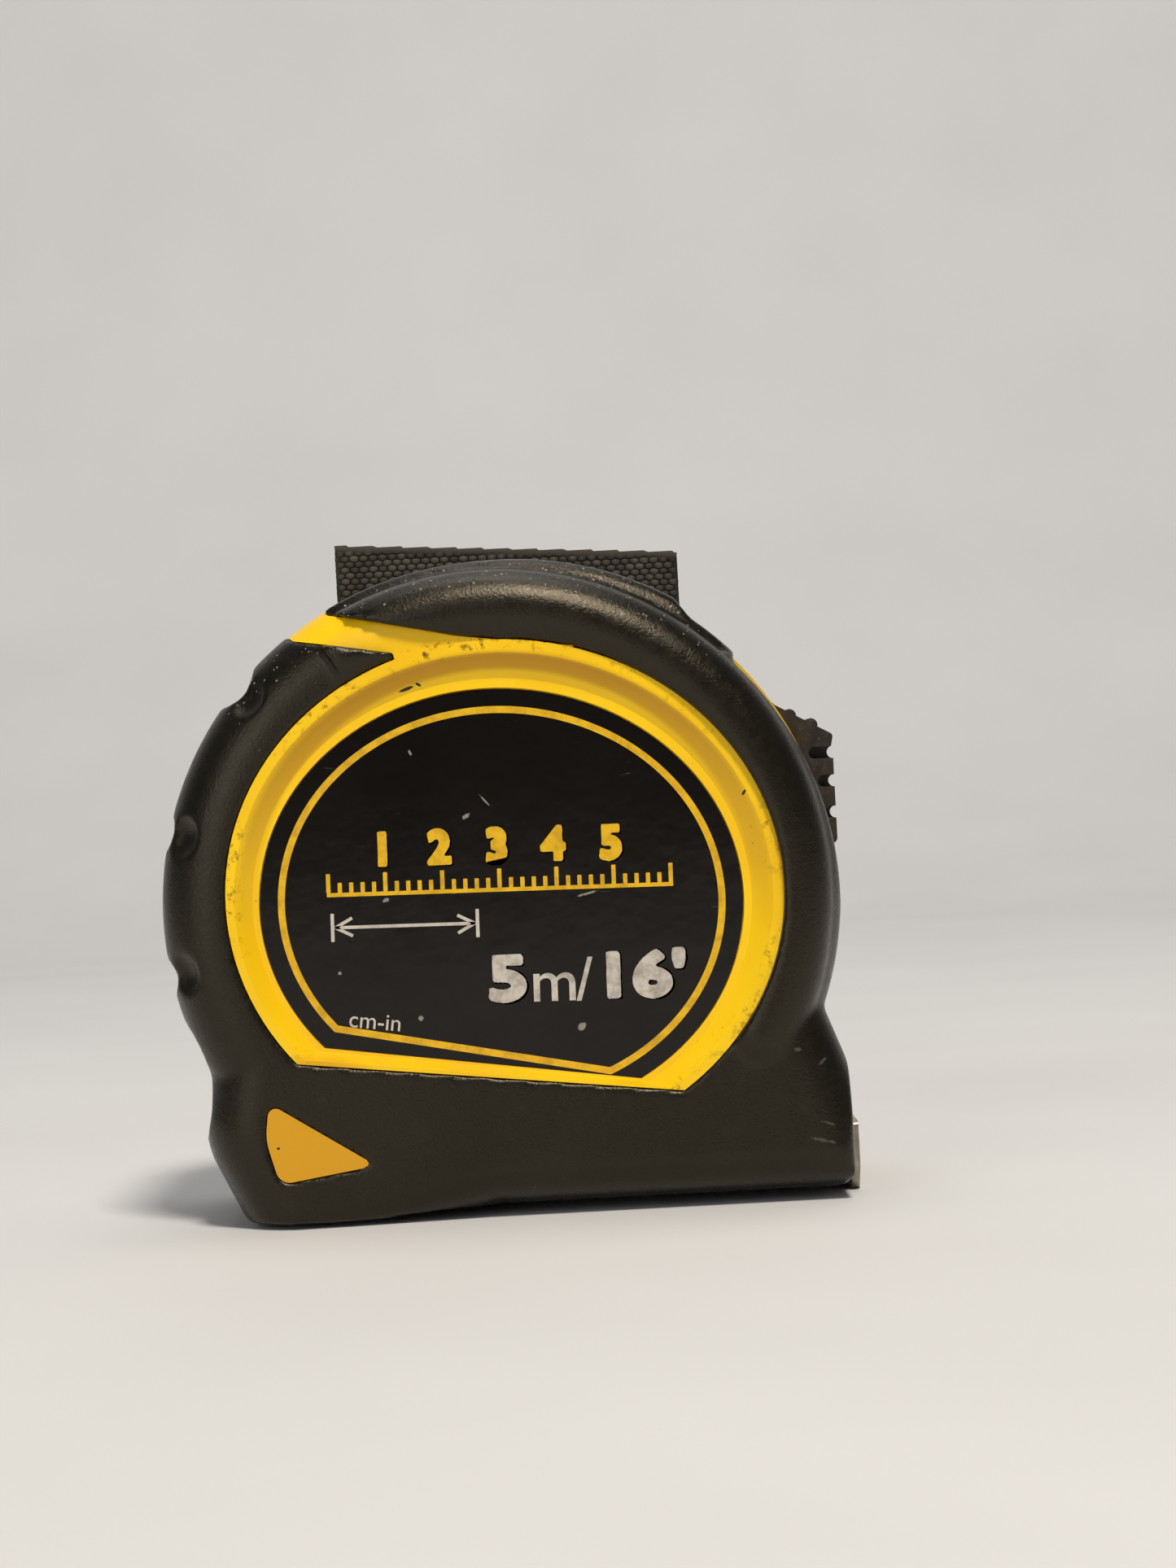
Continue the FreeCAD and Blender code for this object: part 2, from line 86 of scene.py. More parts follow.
def deselectAll():
    if bpy.context.mode != "OBJECT":
        bpy.ops.object.mode_set(mode="OBJECT")
    bpy.ops.object.select_all(action="DESELECT")


def startPiece(name):
    # takes the primitive that was just added
    piece = bpy.context.object
    piece.name = name
    piece.data.name = name
    return piece


def activate(piece):
    deselectAll()
    piece.select_set(True)
    bpy.context.view_layer.objects.active = piece


def settle(piece):
    # place, turn and size go into the mesh
    activate(piece)
    bpy.ops.object.transform_apply(location=True, rotation=True, scale=True)


def applyModifier(piece, kind, **settings):
    activate(piece)
    modifier = piece.modifiers.new(kind.lower(), kind)
    for key, value in settings.items():
        setattr(modifier, key, value)
    bpy.ops.object.modifier_apply(modifier=modifier.name)


def smooth(piece, degrees=35):
    activate(piece)
    bpy.ops.object.shade_smooth_by_angle(angle=math.radians(degrees))


def outward(piece):
    activate(piece)
    bpy.ops.object.mode_set(mode="EDIT")
    bpy.ops.mesh.select_all(action="SELECT")
    bpy.ops.mesh.remove_doubles(threshold=0.002 * mm)
    bpy.ops.mesh.normals_make_consistent(inside=False)
    bpy.ops.object.mode_set(mode="OBJECT")


def selectWhere(piece, kind, test):
    # picks faces, edges or vertices in edit mode by their place
    bpy.ops.object.mode_set(mode="OBJECT")
    for items in (piece.data.vertices, piece.data.edges, piece.data.polygons):
        for item in items:
            item.select = False
    for item in getattr(piece.data, kind):
        item.select = test(item)
    bpy.ops.object.mode_set(mode="EDIT")


def copyNode(node, name):
    # a joined-up copy of a CAD node's mesh, to finish by hand
    deselectAll()
    source = frame["nodes"][node]
    piece = bpy.data.objects.new(name, source.data.copy())
    bpy.context.scene.collection.objects.link(piece)
    piece.data.name = name
    piece.data.materials.clear()
    activate(piece)
    bpy.ops.object.mode_set(mode="EDIT")
    bpy.ops.mesh.select_all(action="SELECT")
    bpy.ops.mesh.remove_doubles(threshold=0.001 * mm)
    bpy.ops.object.mode_set(mode="OBJECT")
    return piece


def linearColour(text):
    # sRGB hex to linear
    parts = [int(text[i:i + 2], 16) / 255 for i in (1, 3, 5)]
    return [c / 12.92 if c <= 0.04045 else ((c + 0.055) / 1.055) ** 2.4 for c in parts] + [1.0]


def newMaterial(name, **shader):
    material = bpy.data.materials.new(name)
    material.use_nodes = True
    bsdf = material.node_tree.nodes["Principled BSDF"]
    for key, value in shader.items():
        bsdf.inputs[key.replace("_", " ")].default_value = value
    return material, bsdf


def addNode(material, kind, values=None, links=None, **settings):
    tree = material.node_tree
    node = tree.nodes.new(kind)
    for key, value in settings.items():
        setattr(node, key, value)
    for key, value in (values or {}).items():
        node.inputs[key].default_value = value
    for key, socket in (links or {}).items():
        tree.links.new(socket, node.inputs[key])
    return node


def colourStops(node, stops):
    ramp = node.color_ramp
    while len(ramp.elements) < len(stops):
        ramp.elements.new(0.5)
    for element, (place, colour) in zip(ramp.elements, stops):
        element.position = place
        element.color = linearColour(colour) if isinstance(colour, str) else (colour, colour, colour, 1)
    return node


def surface(material):
    # Object coordinates in millimetres
    coords = addNode(material, "ShaderNodeTexCoord")
    scaled = addNode(material, "ShaderNodeVectorMath", {1: (1000, 1000, 1000)},
                     {0: coords.outputs["Object"]}, operation="MULTIPLY")
    return scaled.outputs[0]


def noiseOf(material, place, grain, detail=2.0, roughness=0.5):
    # noise whose features are about grain millimetres across
    node = addNode(material, "ShaderNodeTexNoise",
                   {"Scale": 1.0 / grain, "Detail": detail, "Roughness": roughness}, {"Vector": place})
    return node.outputs["Fac"]


def ramp(material, factor, stops):
    return colourStops(addNode(material, "ShaderNodeValToRGB", links={"Fac": factor}), stops).outputs["Color"]


def mix(material, factor, first, second, blend="MIX"):
    node = addNode(material, "ShaderNodeMix", data_type="RGBA", blend_type=blend)
    for index, value in ((0, factor), (6, first), (7, second)):
        if isinstance(value, (int, float, list, tuple)):
            node.inputs[index].default_value = value
        else:
            material.node_tree.links.new(value, node.inputs[index])
    return node.outputs[2]


def bump(material, bsdf, height, depth, strength=1.0):
    # depth of the relief in millimetres
    node = addNode(material, "ShaderNodeBump", {"Strength": strength, "Distance": depth * mm},
                   {"Height": height})
    material.node_tree.links.new(node.outputs["Normal"], bsdf.inputs["Normal"])


def feed(material, socket, bsdf, name):
    material.node_tree.links.new(socket, bsdf.inputs[name])


def ellipseReach(material, place, centre, halfAxes, tilt):
    # 1 on the ellipse, less inside it, more outside
    x, z = centre
    moved = addNode(material, "ShaderNodeVectorMath", {1: (-x, 0, -(z + axisZ / mm))}, {0: place},
                    operation="ADD")
    turned = addNode(material, "ShaderNodeVectorRotate", {"Angle": math.radians(tilt)},
                     {"Vector": moved.outputs[0]}, rotation_type="Y_AXIS")
    shrunk = addNode(material, "ShaderNodeVectorMath", {1: (1 / halfAxes[0], 0, 1 / halfAxes[1])},
                     {0: turned.outputs[0]}, operation="MULTIPLY")
    length = addNode(material, "ShaderNodeVectorMath", links={0: shrunk.outputs[0]}, operation="LENGTH")
    return length.outputs["Value"]


def spotMask(material, place, centre, size, lean=0.0, ragged=0.5):
    # 1 inside a ragged mark, 0 away from it; size is its half length and half height
    x, z = centre
    moved = addNode(material, "ShaderNodeVectorMath", {1: (-x, 0, -(z + axisZ / mm))}, {0: place},
                    operation="ADD")
    turned = addNode(material, "ShaderNodeVectorRotate", {"Angle": math.radians(lean)},
                     {"Vector": moved.outputs[0]}, rotation_type="Y_AXIS")
    shrunk = addNode(material, "ShaderNodeVectorMath", {1: (1 / size[0], 0, 1 / size[1])},
                     {0: turned.outputs[0]}, operation="MULTIPLY")
    length = addNode(material, "ShaderNodeVectorMath", links={0: shrunk.outputs[0]}, operation="LENGTH")
    rough = noiseOf(material, place, size[1] * 1.1, 3.0, 0.7)
    wobbled = addNode(material, "ShaderNodeMath", {1: ragged}, {0: rough, 2: length.outputs["Value"]},
                      operation="MULTIPLY_ADD")
    return ramp(material, wobbled.outputs[0], [(0.80, 1.0), (0.95, 0.0)])


# dark chips in the yellow: centre from the reel axis, half length and half height, lean in degrees
yellowChips = [
    ((-8.2, 21.5), (1.25, 0.26), 18), ((-7.0, 21.9), (0.5, 0.22), -30),
    ((24.6, 9.5), (0.5, 0.22), 60), ((-23.2, -23.2), (0.25, 0.22), 0),
]


def yellowAbs():
    # moulded ABS: deep warm yellow, satin gloss, rubbed brown along the ring's outer edge, painted shade in
    # the upper dish and on the recessed triangle inset
    material, bsdf = newMaterial("mouldedYellowAbs", Roughness=0.34, IOR=1.53, Specular_IOR_Level=0.4)
    place = surface(material)
    base = ramp(material, noiseOf(material, place, 14.0, 3.0), [(0.35, "#F4C000"), (0.65, "#FDD000")])
    reach = ellipseReach(material, place, (0.48, 0.71), (27.6, 25.19), -4.6)
    half = addNode(material, "ShaderNodeMath", {1: 0.5}, {0: reach}, operation="MULTIPLY").outputs[0]
    # painted shade: the ring's dish band turns a deeper yellow towards the top, standing in for the shade on
    # its upper slope
    inDish = ramp(material, half, [(0.438, 0.0), (0.447, 0.85), (0.470, 1.0), (0.482, 0.0)])
    height = addNode(material, "ShaderNodeSeparateXYZ", links={0: place})
    high = addNode(material, "ShaderNodeMapRange", {"From Min": axisZ / mm - 4, "From Max": axisZ / mm + 22},
                   {"Value": height.outputs["Z"]})
    paintedShading = mix(material, 1.0, inDish, high.outputs["Result"], "MULTIPLY")
    base = mix(material, paintedShading, base, linearColour("#C68E00"))
    # painted shade: the recessed triangle inset at the lower left is coloured a deeper orange-yellow
    base = mix(material, spotMask(material, place, (-20.0, -22.5), (12, 9), 0, 0.0), base,
               linearColour("#D99E08"))
    nearEdge = ramp(material, half, [(0.468, 0.0), (0.488, 1.0), (0.503, 1.0), (0.512, 0.0)])
    patches = ramp(material, noiseOf(material, place, 0.9, 4.0, 0.7), [(0.53, 0.0), (0.66, 1.0)])
    where = ramp(material, noiseOf(material, place, 9.0, 2.0), [(0.42, 0.0), (0.62, 1.0)])
    grime = mix(material, 1.0, mix(material, 1.0, nearEdge, patches, "MULTIPLY"), where, "MULTIPLY")
    rubbed = mix(material, grime, base, linearColour("#7A5208"))
    flecks = ramp(material, noiseOf(material, place, 0.5, 2.0, 0.6), [(0.69, 0.0), (0.74, 0.55)])
    wide = ramp(material, noiseOf(material, place, 6.0, 2.0), [(0.56, 0.0), (0.66, 1.0)])
    specks = mix(material, 1.0, flecks, wide, "MULTIPLY")
    marks = mix(material, specks, rubbed, linearColour("#8A6208"))
    for centre, size, lean in yellowChips:
        marks = mix(material, spotMask(material, place, centre, size, lean), marks, linearColour("#241A08"))
    feed(material, marks, bsdf, "Base Color")
    feed(material, ramp(material, noiseOf(material, place, 2.2, 4.0), [(0.3, 0.30), (0.7, 0.46)]), bsdf,
         "Roughness")
    bump(material, bsdf, noiseOf(material, place, 0.35, 2.0), 0.02, 0.5)
    return material


# grey scuffs on the rubber by the mouth, given as the chips are; the third, at (28.6, -16.2), is a painted
# highlight where the roll meets the front face
scuffsAndPaintedHighlight = [
    ((30.6, -25.2), (3.0, 0.5), -14), ((31.3, -23.6), (2.0, 0.3), -18),
    ((28.6, -16.2), (0.9, 0.7), 0), ((31.0, -17.5), (1.6, 0.35), 40),
]


def blackRubber():
    # moulded thermoplastic rubber: near black, soft warm sheen, fine grain, pale dust in the groove
    material, bsdf = newMaterial("mouldedBlackRubber", Roughness=0.32, IOR=1.5, Specular_IOR_Level=0.48,
                                 Specular_Tint=linearColour("#FFEFD2"))
    place = surface(material)
    base = ramp(material, noiseOf(material, place, 9.0, 3.0), [(0.3, "#0A0906"), (0.7, "#100F0B")])
    dots = addNode(material, "ShaderNodeTexVoronoi", {"Scale": 1.0 / 0.75, "Randomness": 1.0},
                   {"Vector": place})
    near = ramp(material, dots.outputs["Distance"], [(0.11, 1.0), (0.19, 0.0)])
    reach = ellipseReach(material, place, (0.7, 0.0), (33.0, 33.0), 0)
    half = addNode(material, "ShaderNodeMath", {1: 0.5}, {0: reach}, operation="MULTIPLY").outputs[0]
    inGroove = ramp(material, half, [(0.462, 0.0), (0.485, 1.0), (0.515, 1.0), (0.53, 0.0)])
    height = addNode(material, "ShaderNodeSeparateXYZ", links={0: place})
    high = addNode(material, "ShaderNodeMapRange", {"From Min": axisZ / mm + 16, "From Max": axisZ / mm + 26},
                   {"Value": height.outputs["Z"]})
    ahead = addNode(material, "ShaderNodeMapRange", {"From Min": -10.0, "From Max": -12.0},
                    {"Value": height.outputs["Y"]})
    groove = mix(material, 1.0, mix(material, 1.0, inGroove, high.outputs["Result"], "MULTIPLY"),
                 ahead.outputs["Result"], "MULTIPLY")
    general = ramp(material, noiseOf(material, place, 4.5, 3.0), [(0.62, 0.0), (0.72, 0.22)])
    some = mix(material, 1.0, mix(material, 1.0, groove, general, "ADD"), near, "MULTIPLY")
    patchy = ramp(material, noiseOf(material, place, 1.6, 3.0), [(0.44, 0.0), (0.58, 1.0)])
    dust = mix(material, 1.0, some, patchy, "MULTIPLY")
    film = ramp(material, noiseOf(material, place, 3.0, 5.0, 0.7), [(0.55, 0.0), (0.8, 0.25)])
    scuffedWithPaintedHighlight = mix(material, film, base, linearColour("#2C2A22"))
    # grey scuffs, and one painted highlight where the roll meets the front face
    for centre, size, lean in scuffsAndPaintedHighlight:
        scuffedWithPaintedHighlight = mix(material, spotMask(material, place, centre, size, lean, 1.1), scuffedWithPaintedHighlight,
                     linearColour("#45423A"))
    feed(material, mix(material, dust, scuffedWithPaintedHighlight, linearColour("#A8A292")), bsdf, "Base Color")
    feed(material, ramp(material, noiseOf(material, place, 1.2, 4.0), [(0.3, 0.22), (0.7, 0.34)]), bsdf,
         "Roughness")
    bump(material, bsdf, noiseOf(material, place, 0.3, 3.0, 0.7), 0.07, 0.8)
    return material


# silver dings in the label, given as the chips are
labelDings = [
    ((-8.5, -11.2), (0.55, 0.5), 0), ((7.4, -12.9), (1.0, 0.8), 50),
    ((-11.4, 0.7), (0.7, 0.4), 20), ((-16.3, -6.3), (0.4, 0.4), 0),
    ((8.6, 0.3), (2.2, 0.25), 12), ((-3.0, 8.6), (0.9, 0.5), 40),
    ((-8.2, 15.2), (0.3, 0.7), 20), ((-1.0, 10.0), (1.6, 0.2), -50),
]


def labelFilm():
    # glossy printed film: black with hair scratches and small silver dings
    material, bsdf = newMaterial("glossyBlackLabelFilm", Roughness=0.16, IOR=1.48, Specular_IOR_Level=0.3)
    place = surface(material)
    masks = []
    for lean, size in ((24, 1.1), (-50, 0.8)):
        streaks = addNode(material, "ShaderNodeMapping", {"Rotation": (0, math.radians(lean), 0),
                          "Scale": (0.35, 1.0, 2.4)}, {"Vector": place})
        lines = ramp(material, noiseOf(material, streaks.outputs[0], size, 4.0, 0.65),
                     [(0.67, 0.0), (0.74, 1.0)])
        patches = ramp(material, noiseOf(material, place, 4.0 + size, 1.0), [(0.58, 0.0), (0.66, 1.0)])
        masks.append(mix(material, 1.0, lines, patches, "MULTIPLY"))
    scratch = mix(material, 1.0, masks[0], masks[1], "ADD")
    base = ramp(material, noiseOf(material, place, 11.0), [(0.3, "#0B0805"), (0.7, "#120D09")])
    faint = mix(material, 0.4, [0, 0, 0, 1], scratch)
    scratched = mix(material, faint, base, linearColour("#6E675E"))
    for centre, size, lean in labelDings:
        scratched = mix(material, spotMask(material, place, centre, size, lean, 0.9), scratched,
                        linearColour("#8C867B"))
    feed(material, scratched, bsdf, "Base Color")
    feed(material, ramp(material, scratch, [(0.0, 0.13), (1.0, 0.45)]), bsdf, "Roughness")
    bump(material, bsdf, noiseOf(material, place, 3.0, 2.0, 0.5), 0.05, 0.5)
    return material


def printedInk(name, dark, light, metallic=0.0, roughness=0.35):
    # printed ink: even colour, a little worn through
    material, bsdf = newMaterial(name, Roughness=roughness, Metallic=metallic)
    place = surface(material)
    wear = noiseOf(material, place, 1.2, 4.0, 0.6)
    feed(material, ramp(material, wear, [(0.35, dark), (0.6, light)]), bsdf, "Base Color")
    bump(material, bsdf, noiseOf(material, place, 1.6, 3.0), 0.01, 0.4)
    return material


def darkPlastic():
    # glass-filled nylon: dark brown-grey, dull, dusty in the grooves
    material, bsdf = newMaterial("mouldedDarkNylon", Roughness=0.5, IOR=1.53, Specular_IOR_Level=0.3)
    place = surface(material)
    base = ramp(material, noiseOf(material, place, 2.0, 4.0), [(0.3, "#221D18"), (0.7, "#38322B")])
    dust = ramp(material, noiseOf(material, place, 0.5, 3.0, 0.7), [(0.6, 0.0), (0.75, 0.5)])
    feed(material, mix(material, dust, base, linearColour("#6A6155")), bsdf, "Base Color")
    bump(material, bsdf, noiseOf(material, place, 0.25, 3.0), 0.03, 0.6)
    return material


def metal(name, dark, light, roughness, grain, depth=0.01):
    # metal with worn, slightly uneven polish
    material, bsdf = newMaterial(name, Metallic=1.0, Roughness=roughness)
    place = surface(material)
    tone = ramp(material, noiseOf(material, place, grain * 4, 4.0), [(0.3, dark), (0.7, light)])
    feed(material, tone, bsdf, "Base Color")
    polish = ramp(material, noiseOf(material, place, grain * 2, 3.0),
                  [(0.3, roughness * 0.8), (0.7, min(1.0, roughness * 1.3))])
    feed(material, polish, bsdf, "Roughness")
    bump(material, bsdf, noiseOf(material, place, grain, 3.0), depth, 0.5)
    return material


def plainPlastic(name, dark, light, roughness):
    # pale engineering plastic inside the case: faint flow marks
    material, bsdf = newMaterial(name, Roughness=roughness, IOR=1.53)
    place = surface(material)
    feed(material, ramp(material, noiseOf(material, place, 5.0, 3.0), [(0.3, dark), (0.7, light)]), bsdf,
         "Base Color")
    bump(material, bsdf, noiseOf(material, place, 0.6, 2.0), 0.01, 0.4)
    return material


def bladeLacquer():
    # yellow lacquer on steel strip, with a black division every millimetre along the front edge
    material, bsdf = newMaterial("yellowBladeLacquer", Roughness=0.3, IOR=1.5)
    place = surface(material)
    base = ramp(material, noiseOf(material, place, 5.0, 3.0), [(0.3, "#EBC010"), (0.7, "#F4CC1C")])
    parts = addNode(material, "ShaderNodeSeparateXYZ", links={0: place})
    marks = None
    for step, reach in ((1.0, -7.0), (5.0, -5.8), (10.0, -4.6)):
        cell = addNode(material, "ShaderNodeMath", {1: step}, {0: parts.outputs["X"]}, operation="MODULO")
        near = addNode(material, "ShaderNodeMath", {1: 0.22}, {0: cell.outputs[0]}, operation="LESS_THAN")
        side = addNode(material, "ShaderNodeMath", {1: reach}, {0: parts.outputs["Y"]}, operation="LESS_THAN")
        both = addNode(material, "ShaderNodeMath", links={0: near.outputs[0], 1: side.outputs[0]},
                       operation="MULTIPLY").outputs[0]
        if marks is None:
            marks = both
        else:
            marks = addNode(material, "ShaderNodeMath", links={0: marks, 1: both},
                            operation="MAXIMUM").outputs[0]
    feed(material, mix(material, marks, base, linearColour("#15130F")), bsdf, "Base Color")
    bump(material, bsdf, noiseOf(material, place, 0.6, 2.0), 0.005, 0.4)
    return material


def nylonWebbing():
    # woven nylon: dark grey-brown yarn, dull, painted shade in the gaps between yarns and painted highlight
    # on the crowns, paler along the cut top edge
    material, bsdf = newMaterial("wovenNylonWebbing", Roughness=0.8, Sheen_Weight=0.08,
                                 Specular_IOR_Level=0.2)
    place = surface(material)
    attribute = addNode(material, "ShaderNodeAttribute", attribute_name="weave")
    # painted shade and highlight: the yarn colour follows the weave height, darkest in the gaps and palest on
    # the crowns
    yarn = ramp(material, attribute.outputs["Fac"], [(0.0, "#0E0C0A"), (0.5, "#2E2A25"), (1.0, "#565147")])
    uneven = ramp(material, noiseOf(material, place, 3.0, 4.0), [(0.3, 0.75), (0.7, 1.25)])
    paintedShading = mix(material, 1.0, yarn, uneven, "MULTIPLY")
    # paler along the cut top edge
    paleTopBand = addNode(material, "ShaderNodeAttribute", attribute_name="paleTopBand")
    feed(material, mix(material, paleTopBand.outputs["Fac"], paintedShading, linearColour("#57524A")), bsdf, "Base Color")
    bump(material, bsdf, noiseOf(material, place, 0.18, 3.0, 0.7), 0.06, 0.8)
    return material


def palePaper():
    # studio sweep: matt pale grey paper
    material, bsdf = newMaterial("palePaperSweep", Roughness=0.95)
    place = surface(material)
    feed(material, ramp(material, noiseOf(material, place, 60.0), [(0.3, "#D6D6D6"), (0.7, "#DADADA")]), bsdf,
         "Base Color")
    return material


yellow = yellowAbs()
rubber = blackRubber()
film = labelFilm()
yellowInk = printedInk("yellowInk", "#C99B06", "#E8B70C")
greyInk = printedInk("lightGreyInk", "#B8B0A4", "#CFC7BA")
silverInk = printedInk("silverInk", "#A9A095", "#D8D0C4", 0.35, 0.3)
blackInk = printedInk("blackInk", "#0C0B0A", "#1A1816")
nylonDark = darkPlastic()
zincSteel = metal("zincPlatedSteel", "#B4B1AB", "#CBC8C2", 0.33, 0.4)
springSteel = metal("rolledSpringSteel", "#9C9B99", "#B4B3B0", 0.3, 0.3, 0.004)
wornSteel = metal("wornPressedSteel", "#8C8375", "#B5AB9C", 0.36, 0.35, 0.012)
brass = metal("turnedBrass", "#A8843C", "#D3AE62", 0.3, 0.3)
naturalNylon = plainPlastic("naturalNylon", "#CFC7AE", "#DDD6C0", 0.5)
lacquer = bladeLacquer()
webbing = nylonWebbing()
paper = palePaper()

finishes = {
    "front_shell": yellow, "rear_shell": yellow, "front_overmould": rubber, "rear_overmould": rubber,
    "front_label": film, "centre_post": zincSteel, "case_screws": zincSteel, "hook_bumper": rubber,
    "belt_clip": springSteel, "clip_screw": zincSteel, "clip_insert": brass, "webbing_strap": webbing,
    "reel_drum": naturalNylon, "reel_cover": naturalNylon, "blade_coil": lacquer, "power_spring": springSteel,
    "blade_lead": lacquer, "hook_rivets": zincSteel, "end_hook": wornSteel, "lock_button": nylonDark,
    "lock_arm": nylonDark, "brake_pad": rubber,
}
for node, material in finishes.items():
    shape = frame["nodes"][node]
    shape.data.materials.clear()
    shape.data.materials.append(material)
print("materials:", len(bpy.data.materials))


# place in millimetres from the reel axis, lens and sensor in millimetres, roll in degrees
camera = {"place": (9.28, -330.0, 11.15), "lens": 72.87, "sensor": 36.0, "roll": 3.06}


def setCamera():
    x, y, z = camera["place"]
    turn = (math.radians(90), math.radians(camera["roll"]), 0)
    bpy.ops.object.camera_add(location=plan(x, z, y * mm), rotation=turn)
    view = bpy.context.object
    view.name = "photoView"
    view.data.lens = camera["lens"]
    view.data.sensor_width = camera["sensor"]
    view.data.clip_start = 0.01
    bpy.context.scene.camera = view


setCamera()


labelPrint = {
    "borderCentre": (0.10, -0.12), "borderHalf": (22.22, 19.49), "borderTilt": -4.6,
    "borderWidth": 0.69, "cutLeft": (-17.36, -12.09), "cutRight": (10.12, -17.77),
    "inkHeight": 0.03, "lineTilt": -1.15,
}
inkFace = labelLow.y - 0.005 * mm        # just in front of the label film


def labelBorder():
    # yellow line round the label: an ellipse with its foot cut off, inset to a line
    deselectAll()
    x, z = labelPrint["borderCentre"]
    bpy.ops.mesh.primitive_circle_add(vertices=192, radius=1.0, fill_type="NGON",
                                      location=plan(x, z, inkFace), rotation=(math.radians(90), 0, 0))
    piece = startPiece("labelBorder")
    piece.scale = (labelPrint["borderHalf"][0] * mm, labelPrint["borderHalf"][1] * mm, 1)
    piece.rotation_euler = (math.radians(90), math.radians(-labelPrint["borderTilt"]), 0)
    settle(piece)
    left = plan(*labelPrint["cutLeft"], inkFace)
    right = plan(*labelPrint["cutRight"], inkFace)
    along = (right - left).normalized()
    bpy.ops.object.mode_set(mode="EDIT")
    bpy.ops.mesh.select_all(action="SELECT")
    bpy.ops.mesh.bisect(plane_co=left, plane_no=(-along.z, 0, along.x), clear_inner=True, use_fill=False)
    bpy.ops.mesh.select_all(action="SELECT")
    bpy.ops.mesh.inset(thickness=labelPrint["borderWidth"] * mm, depth=0)
    bpy.ops.mesh.delete(type="FACE")
    bpy.ops.mesh.select_all(action="SELECT")
    bpy.ops.mesh.extrude_region_move(TRANSFORM_OT_translate={"value": (0, -labelPrint["inkHeight"] * mm, 0)})
    bpy.ops.object.mode_set(mode="OBJECT")
    outward(piece)
    piece.data.materials.append(yellowInk)
    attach(piece, "case")


labelBorder()


def inkBar(name, x, z, width, height, ink, tilt=None):
    # a printed bar with softly cut corners, centred at x, z
    deselectAll()
    lean = labelPrint["lineTilt"] if tilt is None else tilt
    bpy.ops.mesh.primitive_plane_add(size=1.0, location=plan(x, z, inkFace),
                                     rotation=(math.radians(90), 0, 0))
    piece = startPiece(name)
    piece.scale = (width * mm, height * mm, 1)
    piece.rotation_euler = (math.radians(90), math.radians(-lean), 0)
    settle(piece)
    bpy.ops.object.mode_set(mode="EDIT")
    bpy.ops.mesh.select_all(action="SELECT")
    bpy.ops.mesh.bevel(offset=min(width, height) * 0.15 * mm, segments=2, affect="VERTICES")
    bpy.ops.mesh.select_all(action="SELECT")
    bpy.ops.mesh.extrude_region_move(TRANSFORM_OT_translate={"value": (0, -labelPrint["inkHeight"] * mm, 0)})
    bpy.ops.object.mode_set(mode="OBJECT")
    outward(piece)
    piece.data.materials.append(ink)
    return piece


def inkText(name, words, x, z, height, ink, bold=0.0, width=1.0, tilt=None):
    # printed figures: left end of the baseline at x, z
    deselectAll()
    lean = labelPrint["lineTilt"] if tilt is None else tilt
    bpy.ops.object.text_add(location=plan(x, z, inkFace),
                            rotation=(math.radians(90), math.radians(-lean), 0))
    piece = bpy.context.object
    piece.name = name
    piece.data.body = words
    piece.data.size = height / 0.72 * mm
    piece.data.offset = bold * mm
    piece.data.extrude = labelPrint["inkHeight"] / 2 * mm
    piece.scale = (width, 1, 1)
    activate(piece)
    bpy.ops.object.convert(target="MESH")
    piece = bpy.context.object
    piece.name = name
    piece.data.name = name
    settle(piece)
    piece.data.materials.clear()
    piece.data.materials.append(ink)
    return piece


def joined(name, pieces, body):
    # one printed piece out of several
    activate(pieces[0])
    for piece in pieces[1:]:
        piece.select_set(True)
    if len(pieces) > 1:
        bpy.ops.object.join()
    pieces[0].name = name
    pieces[0].data.name = name
    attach(pieces[0], body)
    return pieces[0]


boldFigures = {"copies": 8, "blank": 0.3, "voxel": 0.07, "rounds": 4, "flatAngle": 4}


def heavyInk(name, words, x, z, height, ink, heavy, width=1.0):
    # figures printed bold: copies set round a small circle, made into one solid and flattened
    piece = inkText(name, words, x, z, height, ink, 0.0, width)
    face = min(v.co.y for v in piece.data.vertices)
    applyModifier(piece, "SOLIDIFY", thickness=boldFigures["blank"] * mm, offset=1.0)
    activate(piece)
    for i in range(boldFigures["copies"]):
        turn = math.tau * i / boldFigures["copies"]
        shift = (heavy * math.cos(turn) * mm, 0.01 * i * mm, heavy * math.sin(turn) * mm)
        bpy.ops.object.duplicate_move(TRANSFORM_OT_translate={"value": shift})
        bpy.ops.object.transform_apply(location=True, rotation=True, scale=True)
    bpy.ops.object.select_all(action="DESELECT")
    copies = [o for o in bpy.context.scene.objects if o.name == name or o.name.startswith(name + ".")]
    for copy in copies:
        copy.select_set(True)
    bpy.context.view_layer.objects.active = piece
    bpy.ops.object.join()
    applyModifier(piece, "REMESH", mode="VOXEL", voxel_size=boldFigures["voxel"] * mm)
    applyModifier(piece, "SMOOTH", factor=0.5, iterations=boldFigures["rounds"])
    low = min(v.co.y for v in piece.data.vertices)
    high = max(v.co.y for v in piece.data.vertices)
    for vertex in piece.data.vertices:
        share = (vertex.co.y - low) / (high - low)
        vertex.co.y = face + (0.0 if share < 0.5 else labelPrint["inkHeight"] * mm)
    applyModifier(piece, "DECIMATE", decimate_type="DISSOLVE",
                  angle_limit=math.radians(boldFigures["flatAngle"]))
    piece.data.materials.clear()
    piece.data.materials.append(ink)
    return piece


rulerGraphic = {"left": -17.2, "right": 17.2, "low": 0.95, "line": 0.4, "ticks": 30, "tickWidth": 0.42,
                "tall": 1.9, "short": 1.0, "figures": 3.2, "figureRise": 2.9, "heavy": 0.11}


